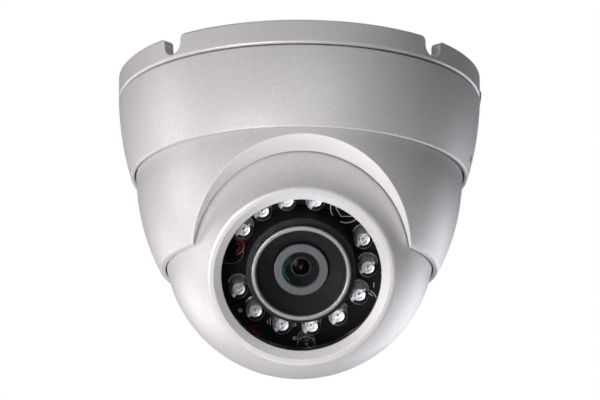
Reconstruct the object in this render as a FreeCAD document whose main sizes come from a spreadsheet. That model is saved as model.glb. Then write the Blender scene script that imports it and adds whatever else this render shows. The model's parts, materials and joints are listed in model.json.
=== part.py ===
"""Ceiling-mounted turret camera: a lensed ball held in a panning shell under a round mounting base.

Millimetres. The origin is the centre of the ceiling face, +Z is up, so the camera hangs at negative
heights and looks towards -Y. Pieces inside the ball are drawn in the ball's own frame: its origin is
the ball's centre, +Z leaves the lens along the optical axis, +X is the tilt axis and +Y is up the face.
"""
import FreeCAD, Part
import math
import os
import Sketcher

Vector = FreeCAD.Vector
doc = FreeCAD.newDocument("TurretCamera")
sheet = doc.addObject("Spreadsheet::Sheet", "Sizes")
nodes = []


# ---------------------------------------------------------------- sizes

class Size:
    """A dimension as a number, for drawing near the answer, and as an expression, for binding to it."""

    def __init__(self, value, text):
        self.value = value
        self.text = text

    def __add__(self, other):
        other = as_size(other)
        return Size(self.value + other.value, f"({self.text} + {other.text})")

    def __sub__(self, other):
        other = as_size(other)
        return Size(self.value - other.value, f"({self.text} - {other.text})")

    def __mul__(self, other):
        other = as_size(other)
        return Size(self.value * other.value, f"({self.text} * {other.text})")

    def __truediv__(self, other):
        other = as_size(other)
        return Size(self.value / other.value, f"({self.text} / {other.text})")

    def __radd__(self, other):
        return as_size(other) + self

    def __rsub__(self, other):
        return as_size(other) - self

    def __rmul__(self, other):
        return as_size(other) * self

    def __neg__(self):
        return as_size(0) - self


def as_size(number):
    if isinstance(number, Size):
        return number
    return Size(float(number), f"({float(number):.6f})")


def given(alias, value, meaning):
    """Write one driving dimension into the sheet and return it."""
    row = given.count = given.count + 1
    sheet.set(f"A{row}", meaning)
    sheet.set(f"B{row}", str(value))
    sheet.setAlias(f"B{row}", alias)
    return Size(float(value), f"Sizes.{alias}")


given.count = 0


def reach(radius, offset):
    """Half-width of a circle of a radius, measured at an offset from its centre."""
    radius, offset = as_size(radius), as_size(offset)
    value = math.sqrt(radius.value ** 2 - offset.value ** 2)
    return Size(value, f"sqrt({radius.text} ^ 2 - {offset.text} ^ 2)")


def around(radius, angle):
    """The x and y of a point at a radius, the angle counted clockwise from +Y as seen from +Z."""
    return radius * math.sin(math.radians(angle)), radius * math.cos(math.radians(angle))


# Outer form
base_radius = given("base_radius", 46.7, "mounting base, outer radius")
base_height = given("base_height", 6.2, "mounting base, height of the visible rim")
casing_wall = given("casing_wall", 2.0, "wall of the cast casings")
rim_wall = given("rim_wall", 3.0, "wall of the mounting base's rim")
seam = given("seam", 0.4, "dark seam between casings")
ring_side_radius = given("ring_side_radius", 79.88, "barrel curve of the trim ring's side")
ring_widest = given("ring_widest", -3.94, "height where the trim ring's curve is widest")
ring_bottom = given("ring_bottom", -27.1, "trim ring, lower lip")
turret_radius = given("turret_radius", 41.99, "turret shell, outer radius at its neck")
turret_side_radius = given("turret_side_radius", 55.51, "barrel curve of the turret shell's side")
turret_widest = given("turret_widest", -25.9, "height where the turret's curve is widest")
turret_edge = given("turret_edge", -51.3, "turret shell, where its side runs into the rounded lip")
turret_bottom = given("turret_bottom", -51.8, "turret shell, bottom lip")
ball_radius = given("ball_radius", 34.6, "camera ball, outer radius")
ball_drop = given("ball_drop", 44.8, "tilt axis below the ceiling")
face_turn = given("face_turn", 126.0, "degrees from straight up to the optical axis at rest")

# Clearances
running = given("running", 0.05, "radial clearance of a shaft in its bore")
gap = given("gap", 0.2, "clearance between faces that pass each other")

# Mounting base
notch_width = given("notch_width", 5.5, "conduit notch in the rim, width")
notch_depth = given("notch_depth", 5.0, "conduit notch in the rim, depth")
notch_mouth = given("notch_mouth", 1.6, "rounding of the notch's mouth")
screw_circle = given("screw_circle", 30.0, "radius of the ceiling screws' circle")
screw_hole = given("screw_hole", 2.25, "radius of a ceiling screw's hole")
cable_hole = given("cable_hole", 9.0, "radius of the cable's hole in the base")
collar_bottom = given("collar_bottom", -14.5, "lower end of the collar that guides the trim ring")
shoulder = given("shoulder", -17.5, "trim ring's inner shoulder that carries the turret")

# Turret shell
arch_radius = given("arch_radius", 32.6, "radius of the arch's cone at its station")
arch_height = given("arch_height", -60.9, "height of the arch's axis at its station")
arch_station = given("arch_station", 38.0, "distance of the arch's station in front of the pan axis")
arch_wall = given("arch_wall", 2.0, "wall around the arch opening")
pin_radius = given("pin_radius", 1.6, "trunnion pin, radius")
pin_reach = given("pin_reach", 37.4, "trunnion pin's end from the tilt axis's middle")

# Ball casings, in the ball's frame
yoke_top = given("yoke_top", 2.0, "tilt yoke, front face")
yoke_bottom = given("yoke_bottom", -8.0, "tilt yoke, rear face")
roll_radius = given("roll_radius", 29.3, "journal the ball rolls on inside the yoke")
face_height = given("face_height", 25.3, "front face of the ball")
face_round = given("face_round", 1.2, "rounding between the ball's sphere and its face")
bezel_radius = given("bezel_radius", 22.2, "outer radius of the bezel's chamfer")
aperture = given("aperture", 20.25, "radius of the clear window")
glass_front = given("glass_front", 24.0, "front of the window")
glass_thick = given("glass_thick", 1.05, "window thickness")
glass_radius = given("glass_radius", 21.9, "window radius")
board_seat = given("board_seat", 8.0, "shoulder in the front shell that carries the bracket")
column_circle = given("column_circle", 24.2, "radius of the shell screws' circle")
column_radius = given("column_radius", 3.3, "column around a shell screw")
rear_face = given("rear_face", -24.5, "flat back of the rear shell")

# Board, lamps and lens, in the ball's frame
board_top = given("board_top", 10.2, "lamp board, front face")
board_thick = given("board_thick", 1.2, "circuit board thickness")
board_radius = given("board_radius", 24.5, "lamp board radius")
board_hole = given("board_hole", 14.3, "hole in the lamp board around the hood")
led_circle = given("led_circle", 17.15, "radius of the lamps' circle")
led_radius = given("led_radius", 2.45, "lamp body radius")
led_flange = given("led_flange", 2.75, "radius of the flange at a lamp's foot")
led_tip = given("led_tip", 17.55, "height of a lamp's tip")
hood_radius = given("hood_radius", 13.95, "lens hood, outer radius")
lens_radius = given("lens_radius", 6.875, "lens barrel, front radius")
lens_face = given("lens_face", 20.0, "lens barrel, front face")
thread_radius = given("thread_radius", 5.95, "lens barrel, threaded part")
sensor_face = given("sensor_face", -6.0, "front face of the sensor board")
main_face = given("main_face", -12.6, "front face of the main board")
standoff_offset = given("standoff_offset", 12.0, "standoffs from the optical axis, each way")
filter_travel = given("filter_travel", 5.5, "travel of the day and night filter")
cable_radius = given("cable_radius", 2.6, "cable radius")
doc.recompute()


# ---------------------------------------------------------------- drawing helpers

ROOM = "room"
BALL = "ball"


def bind(obj, prop, size):
    """Give a property its size as an expression of the sheet's dimensions."""
    obj.setExpression(prop, bound(as_size(size)))


def bound(size):
    """An expression that refers to the sheet, even for a size that is a plain number."""
    return size.text if "Sizes." in size.text else f"{size.text} + 0 * Sizes.seam"


def move(obj, x=0, y=0, z=0):
    for letter, size in zip("xyz", (x, y, z)):
        bind(obj, f"Placement.Base.{letter}", size)
    return obj


def turn(obj, axis, angle):
    obj.Placement = FreeCAD.Placement(obj.Placement.Base, FreeCAD.Rotation(Vector(*axis), angle))
    return obj


def node(label, obj, frame=ROOM):
    """Name a finished sub-part and, for a piece of the ball, set it in the ball's frame."""
    obj.Label = label
    if frame == BALL:
        turn(obj, (1, 0, 0), face_turn.value)
        bind(obj, "Placement.Rotation.Angle", face_turn)
        bind(obj, "Placement.Base.z", -ball_drop)
    nodes.append(obj)
    return obj


class Bend:
    """An arc between two outline points: outward from the solid, or into it when hollow."""

    def __init__(self, radius, hollow=False):
        self.radius = as_size(radius)
        self.hollow = hollow


def cap(half_width, rise):
    """The arc of a spherical cap that meets the axis squarely."""
    half_width, rise = as_size(half_width), as_size(rise)
    return Bend((half_width * half_width + rise * rise) / (rise * 2))


def edge_between(start, end, bend):
    """The line or arc between two outline points, and which of its ends is the start."""
    first = Vector(start[0].value, start[1].value, 0)
    last = Vector(end[0].value, end[1].value, 0)
    if bend is None:
        return Part.LineSegment(first, last), 1, 2
    chord = last - first
    left = Vector(-chord.y, chord.x, 0).normalize()
    depth = math.sqrt(max(bend.radius.value ** 2 - chord.Length ** 2 / 4, 0))
    centre = (first + last) / 2 + left * (-depth if bend.hollow else depth)
    angles = [math.atan2(end_point.y - centre.y, end_point.x - centre.x) for end_point in (first, last)]
    if bend.hollow:
        angles.reverse()
    circle = Part.Circle(centre, Vector(0, 0, 1), bend.radius.value)
    ends = (2, 1) if bend.hollow else (1, 2)
    return Part.ArcOfCircle(circle, angles[0], angles[1]), *ends


def draw(body, plane_role, outline, name):
    """Sketch a closed outline of (across, up) points, anticlockwise, with Bends between some of them."""
    sketch = body.newObject("Sketcher::SketchObject", name)
    plane = [feature for feature in body.Origin.OriginFeatures if feature.Role == plane_role][0]
    sketch.AttachmentSupport = [(plane, "")]
    sketch.MapMode = "FlatFace"
    points, bends = [], []
    for item in outline:
        if isinstance(item, Bend):
            bends[-1] = item
        else:
            points.append((as_size(item[0]), as_size(item[1])))
            bends.append(None)
    edges = []
    for index, point in enumerate(points):
        following = points[(index + 1) % len(points)]
        shape, start, end = edge_between(point, following, bends[index])
        edges.append((sketch.addGeometry(shape), start, end))
    for index, (edge, start, end) in enumerate(edges):
        following, next_start, _ = edges[(index + 1) % len(edges)]
        sketch.addConstraint(Sketcher.Constraint("Coincident", edge, end, following, next_start))
    for index, (edge, start, _) in enumerate(edges):
        for kind, size in zip(("DistanceX", "DistanceY"), points[index]):
            measure = Sketcher.Constraint(kind, -1, 1, edge, start, size.value)
            bind(sketch, f"Constraints[{sketch.addConstraint(measure)}]", size)
        if bends[index]:
            radius = bends[index].radius
            measure = Sketcher.Constraint("Radius", edge, radius.value)
            bind(sketch, f"Constraints[{sketch.addConstraint(measure)}]", radius)
    return sketch


def turned(name, outline):
    """A solid of revolution about Z from an outline of (radius, height) points."""
    body = doc.addObject("PartDesign::Body", name)
    sketch = draw(body, "XZ_Plane", outline, name + "_outline")
    revolution = body.newObject("PartDesign::Revolution", name + "_turn")
    revolution.Profile = sketch
    revolution.ReferenceAxis = (sketch, ["V_Axis"])
    revolution.Angle = 360
    return body


def ring(name, inner, outer, bottom, top):
    return turned(name, [(inner, bottom), (outer, bottom), (outer, top), (inner, top)])


def drum(name, radius, bottom, top, x=0, y=0):
    """An upright cylinder between two heights."""
    cylinder = doc.addObject("Part::Cylinder", name)
    bind(cylinder, "Radius", radius)
    bind(cylinder, "Height", as_size(top) - bottom)
    return move(cylinder, x, y, bottom)


def sideways(shape, start, height=0):
    """Lay an upright shape along +X, its lower end at a distance from the origin."""
    return move(turn(shape, (0, 1, 0), 90), start, 0, height)


def block(name, left, right, front, back, bottom, top):
    box = doc.addObject("Part::Box", name)
    bind(box, "Length", as_size(right) - left)
    bind(box, "Width", as_size(back) - front)
    bind(box, "Height", as_size(top) - bottom)
    return move(box, left, front, bottom)


def hexagon(name, corner_radius, bottom, top, x=0, y=0):
    prism = doc.addObject("Part::Prism", name)
    prism.Polygon = 6
    bind(prism, "Circumradius", corner_radius)
    bind(prism, "Height", as_size(top) - bottom)
    return move(prism, x, y, bottom)


def fused(name, *shapes):
    union = doc.addObject("Part::MultiFuse", name)
    union.Shapes = list(shapes)
    union.Refine = True
    return union


def shared(name, first, second):
    common = doc.addObject("Part::Common", name)
    common.Base = first
    common.Tool = second
    return common


def cut(name, base, *tools):
    difference = doc.addObject("Part::Cut", name)
    difference.Base = base
    difference.Tool = tools[0] if len(tools) == 1 else fused(name + "_tools", *tools)
    difference.Refine = True
    return difference


def copies(name, original, places):
    """Copies of one shape, each at (x, y, z, degrees about Z), as a group of solids."""
    links = []
    for index, (x, y, z, angle) in enumerate(places):
        link = doc.addObject("App::Link", f"{name}_{index}")
        link.LinkedObject = original
        link.LinkTransform = True
        turn(link, (0, 0, 1), angle)
        links.append(move(link, x, y, z))
    return group(name, *links)


def group(name, *shapes):
    compound = doc.addObject("Part::Compound", name)
    compound.Links = list(shapes)
    return compound


def screw(name, head_radius, head_height, shank_radius, shank_length):
    """A socket-head screw, its head's seat at the origin and its shank pointing along +Z."""
    head = drum(name + "_head", head_radius, -head_height, 0)
    shank = drum(name + "_shank", shank_radius, 0, shank_length)
    socket = hexagon(name + "_socket", head_radius * 0.5, -head_height - 0.1, -head_height * 0.4)
    return cut(name, fused(name + "_blank", head, shank), socket)


# ---------------------------------------------------------------- fixed to the ceiling

def ring_side(height):
    """Radius of the trim ring's outside at a height."""
    return base_radius + 0.05 - ring_side_radius + reach(ring_side_radius, height - ring_widest)


floor_top = -notch_depth - 0.1
floor_bottom = floor_top - casing_wall
guide_radius = base_radius - rim_wall - 0.42       # bore of the trim ring, above its shoulder
ring_bore = turret_radius + seam * 1.3             # bore of the trim ring's lower lip
flange_top = collar_bottom - gap * 0.75
flange_bottom = flange_top - 1.4
lock_height = -23.2
LOCK_ANGLES = (98, 278)
LOCK_RADIUS = 1.05
NOTCH_ANGLES = (45, 135, 225, 315)
CEILING_SCREW_ANGLES = (0, 120, 240)


def make_mounting_base():
    edge_round = seam * 1.75
    collar_wall = guide_radius - 0.08
    disc = turned("base_disc", [
        (cable_hole, floor_bottom), (collar_wall - casing_wall, floor_bottom),
        (collar_wall - casing_wall, collar_bottom), (collar_wall, collar_bottom),
        (collar_wall, -base_height), (base_radius - edge_round, -base_height), Bend(edge_round),
        (base_radius, edge_round - base_height), (base_radius, -seam), (base_radius - seam, 0),
        (base_radius - rim_wall, 0), (base_radius - rim_wall, floor_top), (cable_hole, floor_top)])
    boss = drum("screw_boss", screw_hole * 2.2, floor_bottom, 0)
    hole = drum("screw_hole", screw_hole, floor_bottom - 1, 1)
    places = [(*around(screw_circle, angle), 0, 0) for angle in CEILING_SCREW_ANGLES]
    bosses = copies("screw_bosses", boss, places)
    holes = copies("screw_holes", hole, places)
    pry_lug = block("pry_lug", base_radius - rim_wall / 2, base_radius + 0.25, -3, 3,
                    -base_height, 2.2 - base_height)

    half = notch_width / 2
    notch = doc.addObject("PartDesign::Body", "notch")
    profile = draw(notch, "XZ_Plane", [
        (-half - notch_mouth, 1), (-half - notch_mouth, 0), Bend(notch_mouth, hollow=True),
        (-half, -notch_mouth), (-half, half - notch_depth), Bend(half), (0, -notch_depth), Bend(half),
        (half, half - notch_depth), (half, -notch_mouth), Bend(notch_mouth, hollow=True),
        (half + notch_mouth, 0), (half + notch_mouth, 1)], "notch_outline")
    pad = notch.newObject("PartDesign::Pad", "notch_pad")
    pad.Profile = profile
    bind(pad, "Length", base_radius + 1)
    notches = copies("notches", notch, [(0, 0, 0, angle) for angle in NOTCH_ANGLES])
    solid = fused("base_solid", disc, bosses, pry_lug)
    node("mounting_base", cut("mounting_base", solid, holes, notches))


def make_trim_ring():
    top = -base_height - seam
    edge = 0.3
    side_start = ring_bottom + edge
    sleeve = turned("ring_sleeve", [
        (ring_bore, ring_bottom), (ring_side(ring_bottom) - edge, ring_bottom), Bend(edge * 1.1),
        (ring_side(side_start), side_start), Bend(ring_side_radius),
        (ring_side(top - edge), top - edge), (ring_side(top) - edge, top),
        (guide_radius, top), (guide_radius, shoulder), (ring_bore, shoulder)])
    pry_recess = block("pry_recess", base_radius - 0.5, base_radius + 1, -4, 4, top - 2.4, 1)
    hole = sideways(drum("lock_hole", LOCK_RADIUS + 0.05, ring_bore - 2, base_radius), ring_bore - 2)
    holes = copies("lock_holes", hole, [(0, 0, lock_height, 90 - angle) for angle in LOCK_ANGLES])
    node("trim_ring", cut("trim_ring", sleeve, pry_recess, holes))


def make_lock_screws():
    inner_end = ring_bore + 0.1
    outer_end = ring_side(lock_height) - 0.35
    grub = sideways(drum("grub", LOCK_RADIUS, inner_end, outer_end), inner_end)
    socket_floor = outer_end - 1
    socket = hexagon("grub_socket", LOCK_RADIUS * 0.6, socket_floor, outer_end + 0.1)
    socket = sideways(socket, socket_floor)
    drilled = cut("grub_screw", grub, socket)
    places = [(0, 0, lock_height, 90 - angle) for angle in LOCK_ANGLES]
    node("lock_screws", copies("lock_screws", drilled, places))


def make_base_pieces():
    node("pan_friction_ring", ring("pan_friction_ring", ring_bore, guide_radius - 0.1, shoulder,
                                   flange_bottom - 0.02))
    flange = cable_hole + 1.5
    groove = cable_hole - running
    bore = cable_radius + running
    lip_low, lip_high = floor_bottom - running, floor_top + running
    node("cable_grommet", turned("cable_grommet", [
        (bore, lip_low - 1), (flange, lip_low - 1), (flange, lip_low), (groove, lip_low),
        (groove, lip_high), (flange, lip_high), (flange, lip_high + 1), (bore, lip_high + 1)]))
    node("pigtail_cable", drum("pigtail_cable", cable_radius, floor_bottom - 2, -0.5))


# ---------------------------------------------------------------- panning shell

def turret_side(height):
    """Radius of the turret shell's outside at a height."""
    return turret_radius - turret_side_radius + reach(turret_side_radius, height - turret_widest)


lip_inner = ball_radius - 0.3
socket_reach = pin_reach + gap
cheek_face = ball_radius + 0.5
cheek_top = -ball_drop + 6.8
flange_radius = guide_radius - 0.06
cheek_bottom = -ball_drop - 6
CHEEK_HALF = 8.0
KEEPER_SCREW_OFFSET = 5.2


def arch_cone(name, extra):
    """The arch opening, a shallow cone that widens and dips towards the front."""
    dip, half_angle, inward, outward = 7.8, 14.0, 26.0, 14.0
    widening = math.tan(math.radians(half_angle))
    cone = doc.addObject("Part::Cone", name)
    bind(cone, "Radius1", arch_radius + extra - inward * widening)
    bind(cone, "Radius2", arch_radius + extra + outward * widening)
    bind(cone, "Height", inward + outward)
    turn(cone, (1, 0, 0), 90 + dip)
    start = arch_station - inward * math.cos(math.radians(dip))
    return move(cone, 0, -start, arch_height + inward * math.sin(math.radians(dip)))


def make_turret_shell():
    lip_round = 0.9
    side = [(lip_inner, turret_bottom), (turret_side(turret_bottom) - lip_round * 0.6, turret_bottom),
            Bend(lip_round), (turret_side(turret_edge), turret_edge),
            Bend(turret_side_radius), (turret_radius, turret_widest)]
    inner_low = -ball_drop
    inner_high = ring_bottom + 1.7
    neck_bore = turret_side(inner_high) - casing_wall
    inside_curve = Bend(turret_side_radius - casing_wall, hollow=True)
    skin = turned("turret_skin", side + [
        (turret_radius, flange_bottom), (flange_radius, flange_bottom), (flange_radius, flange_top),
        (neck_bore, flange_top), (neck_bore, inner_high), inside_curve,
        (turret_side(inner_low) - casing_wall, inner_low)])
    core = turned("turret_core", [
        (0, turret_bottom), *side, (turret_radius, flange_top), (0, flange_top)])
    visor = shared("visor", core, arch_cone("visor_cone", arch_wall))
    cheek = block("cheek", cheek_face, turret_radius, -CHEEK_HALF, CHEEK_HALF, cheek_bottom, cheek_top)
    cheeks = shared("cheeks", core, copies("cheek_pair", cheek, [(0, 0, 0, 0), (0, 0, 0, 180)]))

    ball_space = doc.addObject("Part::Sphere", "ball_space")
    bind(ball_space, "Radius", ball_radius + 0.4)
    move(ball_space, 0, 0, -ball_drop)
    socket_radius = pin_radius + running
    socket = drum("socket", socket_radius, -socket_reach, socket_reach)
    socket = sideways(socket, -socket_reach, -ball_drop)
    slot = block("socket_slot", -socket_reach, socket_reach, -socket_radius, socket_radius,
                 -ball_drop, cheek_top + 1)
    hole = drum("keeper_thread", 0.95, cheek_top - 7, cheek_top + 1)
    holes = copies("keeper_threads", hole, keeper_screw_places(0))
    solid = fused("turret_solid", skin, visor, cheeks)
    opening = arch_cone("arch", 0)
    node("turret_shell", cut("turret_shell", solid, ball_space, opening, socket, slot, holes))


def keeper_screw_places(height):
    across = (cheek_face + socket_reach) / 2 + 0.3
    return [(across * side, y, height, 0) for side in (1, -1)
            for y in (-KEEPER_SCREW_OFFSET, KEEPER_SCREW_OFFSET)]


def make_trunnion_keepers():
    """Caps screwed onto the cheeks: each closes the slot that its trunnion pin was lowered through."""
    plate_top = cheek_top + 1.6
    near, far = cheek_face + 0.05, socket_reach - 0.05
    tongue_bottom = -ball_drop + pin_radius + 0.06
    tongue = block("keeper_tongue", near, far, -pin_radius, pin_radius, tongue_bottom, cheek_top)
    plate = block("keeper_plate", near, far, -CHEEK_HALF, CHEEK_HALF, cheek_top, plate_top)
    solid = fused("keeper_solid", tongue, plate)
    pair = copies("keeper_pair", solid, [(0, 0, 0, 0), (0, 0, 0, 180)])
    hole = drum("keeper_hole", 1.1, cheek_top - 1, plate_top + 1)
    holes = copies("keeper_holes", hole, keeper_screw_places(0))
    node("trunnion_keepers", cut("trunnion_keepers", pair, holes))
    fastener = turn(screw("keeper_screw", 1.15, 1.1, 0.9, 7), (1, 0, 0), 180)
    node("keeper_screws", copies("keeper_screws", fastener, keeper_screw_places(plate_top)))


# ---------------------------------------------------------------- tilting yoke

def make_tilt_yoke():
    outer = ball_radius - 0.1
    bore = roll_radius + running
    band = turned("yoke_band", [
        (bore, yoke_bottom), (reach(outer, yoke_bottom), yoke_bottom), Bend(outer),
        (reach(outer, yoke_top), yoke_top), (bore, yoke_top)])
    pin = sideways(drum("trunnion_pin", pin_radius, bore + 1, pin_reach), bore + 1)
    pins = copies("trunnion_pins", pin, [(0, 0, 0, 0), (0, 0, 0, 180)])
    node("tilt_yoke", fused("tilt_yoke", band, pins), BALL)


# ---------------------------------------------------------------- ball casings

COLUMN_ANGLES = (60, 180, 300)
BRACKET_SCREW_ANGLES = (0, 120, 240)
LAMP_BOARD_SCREW_ANGLES = (0, 100, 260)
spigot_top = yoke_top + 3.4
seat_bore = roll_radius + 0.1
cavity = roll_radius - casing_wall
bracket_bottom = board_seat - 1.5
bracket_screw_circle = board_radius + 1.2
board_bottom = board_top - board_thick
board_screw_circle = board_radius - 1.9
wire_hole = around(led_circle + 0.85, 275.7)


def columns(name, radius, bottom, top):
    column = drum(name + "_one", radius, bottom, top)
    places = [(*around(column_circle, angle), 0, 0) for angle in COLUMN_ANGLES]
    return copies(name, column, places)


def make_front_shell():
    start = yoke_top + gap
    fillet_centre = (reach(ball_radius - face_round, face_height - face_round), face_height - face_round)
    stretch = ball_radius / (ball_radius - face_round)
    skin = turned("front_skin", [
        (seat_bore, start), (reach(ball_radius, start), start), Bend(ball_radius),
        (fillet_centre[0] * stretch, fillet_centre[1] * stretch), Bend(face_round),
        (fillet_centre[0], face_height), (bezel_radius, face_height), (aperture, glass_front + 0.15),
        (aperture, glass_front), (glass_radius + 0.1, glass_front), (glass_radius + 0.1, glass_front - 4),
        (board_radius + 0.1, glass_front - 7), (board_radius + 0.1, board_seat),
        (cavity, board_seat), (cavity, spigot_top + 0.5), (seat_bore, spigot_top + 0.5)])
    bosses = columns("front_bosses", column_radius, spigot_top + 0.5, board_seat + 0.5)
    threads = columns("front_threads", 1.0, spigot_top, board_seat + 0.1)
    thread = drum("bracket_thread", 0.7, board_seat - 1, board_seat + 3)
    places = [(*around(bracket_screw_circle, angle), 0, 0) for angle in BRACKET_SCREW_ANGLES]
    small_threads = copies("bracket_threads", thread, places)
    solid = fused("front_solid", skin, bosses)
    node("front_shell", cut("front_shell", solid, threads, small_threads), BALL)


def make_rear_shell():
    dome = ball_radius - 0.4
    shoulder_height = -reach(dome, roll_radius)
    outside = [(reach(dome, rear_face), rear_face), Bend(dome), (roll_radius, shoulder_height)]
    groove_floor = roll_radius - 0.95
    groove_low, groove_high = spigot_top - 2.8, spigot_top - 1.5
    inside_face = rear_face + casing_wall
    entry = 4.5
    skin = turned("rear_skin", [
        (entry, rear_face), *outside, (roll_radius, groove_low), (groove_floor, groove_low),
        (groove_floor, groove_high), (roll_radius, groove_high), (roll_radius, spigot_top),
        (cavity, spigot_top), (cavity, shoulder_height + 1.6), (cavity - 5.3, inside_face),
        (entry, inside_face)])
    core = turned("rear_core", [(0, rear_face), *outside, (roll_radius, spigot_top), (0, spigot_top)])
    long_columns = columns("rear_columns_long", column_radius, rear_face, spigot_top)
    ribs = shared("rear_columns", core, long_columns)
    head_seat = rear_face + 6
    bores = columns("rear_bores", 1.25, rear_face - 1, spigot_top + 1)
    counterbores = columns("rear_counterbores", 2.3, rear_face - 1, head_seat)
    solid = fused("rear_solid", skin, ribs)
    node("rear_shell", cut("rear_shell", solid, bores, counterbores), BALL)

    cord = doc.addObject("Part::Torus", "seal_cord")
    bind(cord, "Radius1", groove_floor + 0.53)
    bind(cord, "Radius2", 0.5)
    node("shell_seal", group("shell_seal", move(cord, 0, 0, spigot_top - 2.15)), BALL)
    fastener = screw("shell_screw", 2.0, 1.8, 0.95, board_seat - 0.1 - head_seat)
    places = [(*around(column_circle, angle), head_seat, 0) for angle in COLUMN_ANGLES]
    node("shell_screws", copies("shell_screws", fastener, places), BALL)

    ring_top = yoke_bottom - gap
    ring_low = shoulder_height - 0.1
    ring_dome = ball_radius - 0.2
    node("yoke_retaining_ring", turned("yoke_retaining_ring", [
        (roll_radius + 0.02, ring_low), (reach(ring_dome, ring_low), ring_low), Bend(ring_dome),
        (reach(ring_dome, ring_top), ring_top), (roll_radius + 0.02, ring_top)]), BALL)


def make_cable_entry():
    nut_top = rear_face - 0.1
    nut_low = rear_face - 3.4
    inner_seat = rear_face + casing_wall + 0.05
    bore = cable_radius + 0.05
    node("cable_gland", turned("cable_gland", [
        (bore, nut_low - 0.6), (4.0, nut_low - 0.6), (4.4, nut_low), (4.4, inner_seat), (6.5, inner_seat),
        (6.5, inner_seat + 1.5), (bore, inner_seat + 1.5)]), BALL)
    nut_bore = drum("nut_bore", 4.45, nut_low - 1, nut_top + 1)
    node("gland_nut", cut("gland_nut", hexagon("nut_blank", 6.9, nut_low, nut_top), nut_bore), BALL)
    socket_back = main_face - board_thick - 5
    cable = drum("cable_core", cable_radius, nut_low - 5.6, socket_back - 0.1)
    node("camera_cable", group("camera_cable", cable), BALL)
    socket = block("cable_socket_body", -6, 6, -3, 3, socket_back, main_face - board_thick)
    node("cable_socket", group("cable_socket", socket), BALL)


# ---------------------------------------------------------------- window and lamps

# clockwise from the top; the wider gaps leave room for a printed mark and for the wires
LAMP_ANGLES = (11.7, 67.3, 93.3, 119.1, 145.3, 170, 195, 221.2, 246, 301.5, 324.5, 347.3)
SENSOR_ANGLE = 175.5


def make_window():
    glass_back = glass_front - glass_thick
    clear = aperture + 0.4
    node("window", ring("window", 0, glass_radius, glass_back, glass_front - 0.02), BALL)
    node("window_gasket", ring("window_gasket", clear, glass_radius,
                               glass_back - 1, glass_back - 0.03), BALL)
    node("window_retainer", ring("window_retainer", clear, glass_radius + 0.05,
                                 glass_back - 2.6, glass_back - 1.05), BALL)


def make_lamp_board():
    disc = ring("lamp_board_disc", board_hole, board_radius, board_bottom, board_top)
    wire_cutout = drum("wire_cutout", 3.3, board_bottom - 1, board_top + 1, *wire_hole)
    places = [(*around(board_screw_circle, angle), 0, 0) for angle in LAMP_BOARD_SCREW_ANGLES]
    hole = drum("lamp_board_hole", 0.9, board_bottom - 1, board_top + 1)
    board = cut("ir_board", disc, wire_cutout, copies("lamp_board_holes", hole, places))
    node("ir_board", board, BALL)
    # screw heads sit on the board's front face, so each screw is turned over
    fastener = turn(screw("lamp_screw", 1.6, 1.0, 0.8, 3.2), (1, 0, 0), 180)
    seats = [(x, y, board_top, 0) for x, y, _, _ in places]
    node("ir_board_screws", copies("ir_board_screws", fastener, seats), BALL)


def make_lamps():
    dome_start = led_tip - led_radius
    lamp = turned("lamp", [
        (0, board_top), (led_flange, board_top), (led_flange, board_top + 1),
        (led_radius, board_top + 1), (led_radius, dome_start), Bend(led_radius), (0, led_tip)])
    places = [(*around(led_circle, angle), 0, 0) for angle in LAMP_ANGLES]
    node("ir_leds", copies("ir_leds", lamp, places), BALL)

    sensor_radius = as_size(2.35)
    sensor_tip = led_tip
    sensor = turned("sensor_dome", [
        (0, board_top), (sensor_radius, board_top), (sensor_radius, sensor_tip - sensor_radius),
        Bend(sensor_radius), (0, sensor_tip)])
    place = (*around(board_radius - 2.45, SENSOR_ANGLE), 0, 0)
    node("light_sensor", copies("light_sensor", sensor, [place]), BALL)

    wire_radius = as_size(0.45)
    for name, bend_radius in (("led_wire_red", 2.0), ("led_wire_black", 1.0)):
        loop = doc.addObject("Part::Torus", name + "_loop")
        bind(loop, "Radius1", bend_radius)
        bind(loop, "Radius2", wire_radius)
        loop.Angle3 = 180
        turn(loop, (0, 0, 1), -90)
        move(loop, -led_circle + 0.8, 3.0, board_top + wire_radius + 0.05)
        node(name, group(name, loop), BALL)


# ---------------------------------------------------------------- lens and hood

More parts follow.
